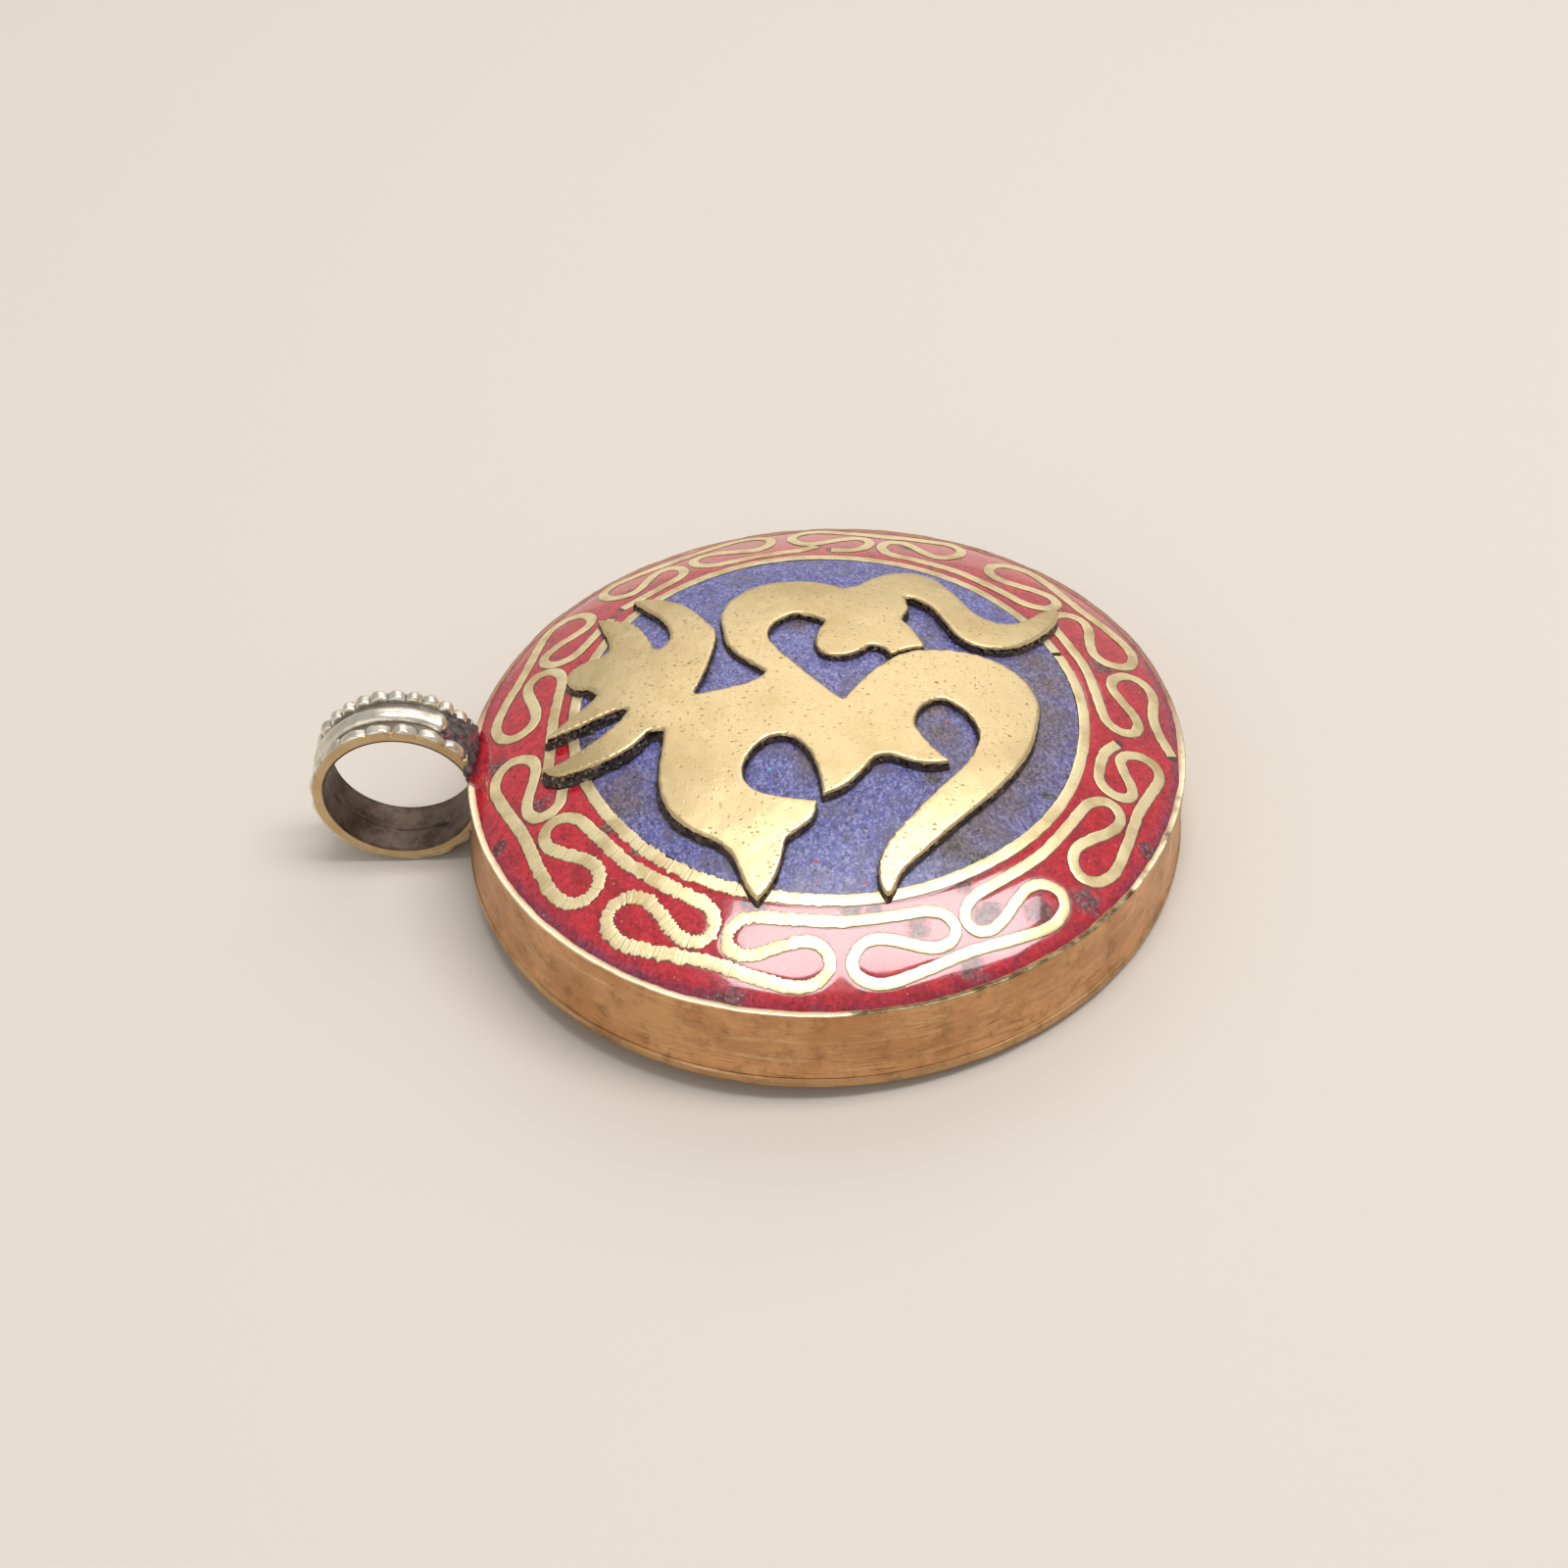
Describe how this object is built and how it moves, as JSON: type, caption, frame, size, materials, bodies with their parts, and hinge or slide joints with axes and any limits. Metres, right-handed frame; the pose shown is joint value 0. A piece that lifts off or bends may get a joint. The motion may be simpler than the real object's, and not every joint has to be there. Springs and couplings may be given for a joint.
{
  "type": "ghau amulet box",
  "caption": "Round brass amulet box with a domed red and blue mosaic face, a raised brass emblem, a pull-off back cover and a cord loop.",
  "frame": {"origin": "centre of the back plate's flat outer face", "axes": "+Z out of the domed mosaic face, +Y towards the bail and the top of the emblem, +X towards the emblem's right; the bail's bore runs along X"},
  "size_m": [0.0506, 0.0615, 0.0157],
  "materials": {
    "brass_back": "plain sheet brass, dulled",
    "brass_band": "warm golden sheet brass, scratched along the band",
    "brass_wire": "pale flattened wire, ground flush, finely striated across",
    "brass_emblem": "pale polished brass with fine scratches and small dark pits",
    "lac": "black-brown rough lac",
    "coral_mosaic": "coral-red chips in resin, ground and polished",
    "lapis_mosaic": "lapis-blue chips in resin, ground and polished",
    "silvered_brass": "pale silvered brass, cast relief, bright on the high spots",
    "solder": "dark grey solder with a smear of red resin",
    "paper": "rolled handmade paper",
    "thread": "red cotton thread"
  },
  "bodies": {
    "back_cover": {"back_plate": "brass_back", "back_collar": "brass_back", "prayer_scroll": "paper", "scroll_tie": "thread"},
    "case": {"side_band": "brass_band", "dome_plate": "brass_back", "lac_bed": "lac", "coral_border": "coral_mosaic", "lapis_field": "lapis_mosaic", "ring_wire": "brass_wire", "border_wire_1": "brass_wire", "border_wire_2": "brass_wire", "border_wire_3": "brass_wire", "border_wire_4": "brass_wire", "emblem_lac": "lac", "emblem": "brass_emblem", "bail_strip": "silvered_brass", "bail_ridge_wire": "silvered_brass", "bail_edge_wire_left": "silvered_brass", "bail_edge_wire_right": "silvered_brass", "bail_solder": "solder"}
  },
  "joints": [
    {"name": "case_pull", "type": "slide", "parent": "back_cover", "child": "case", "axis": [0, 0, 1], "range_m": [0, 0.012]}
  ]
}
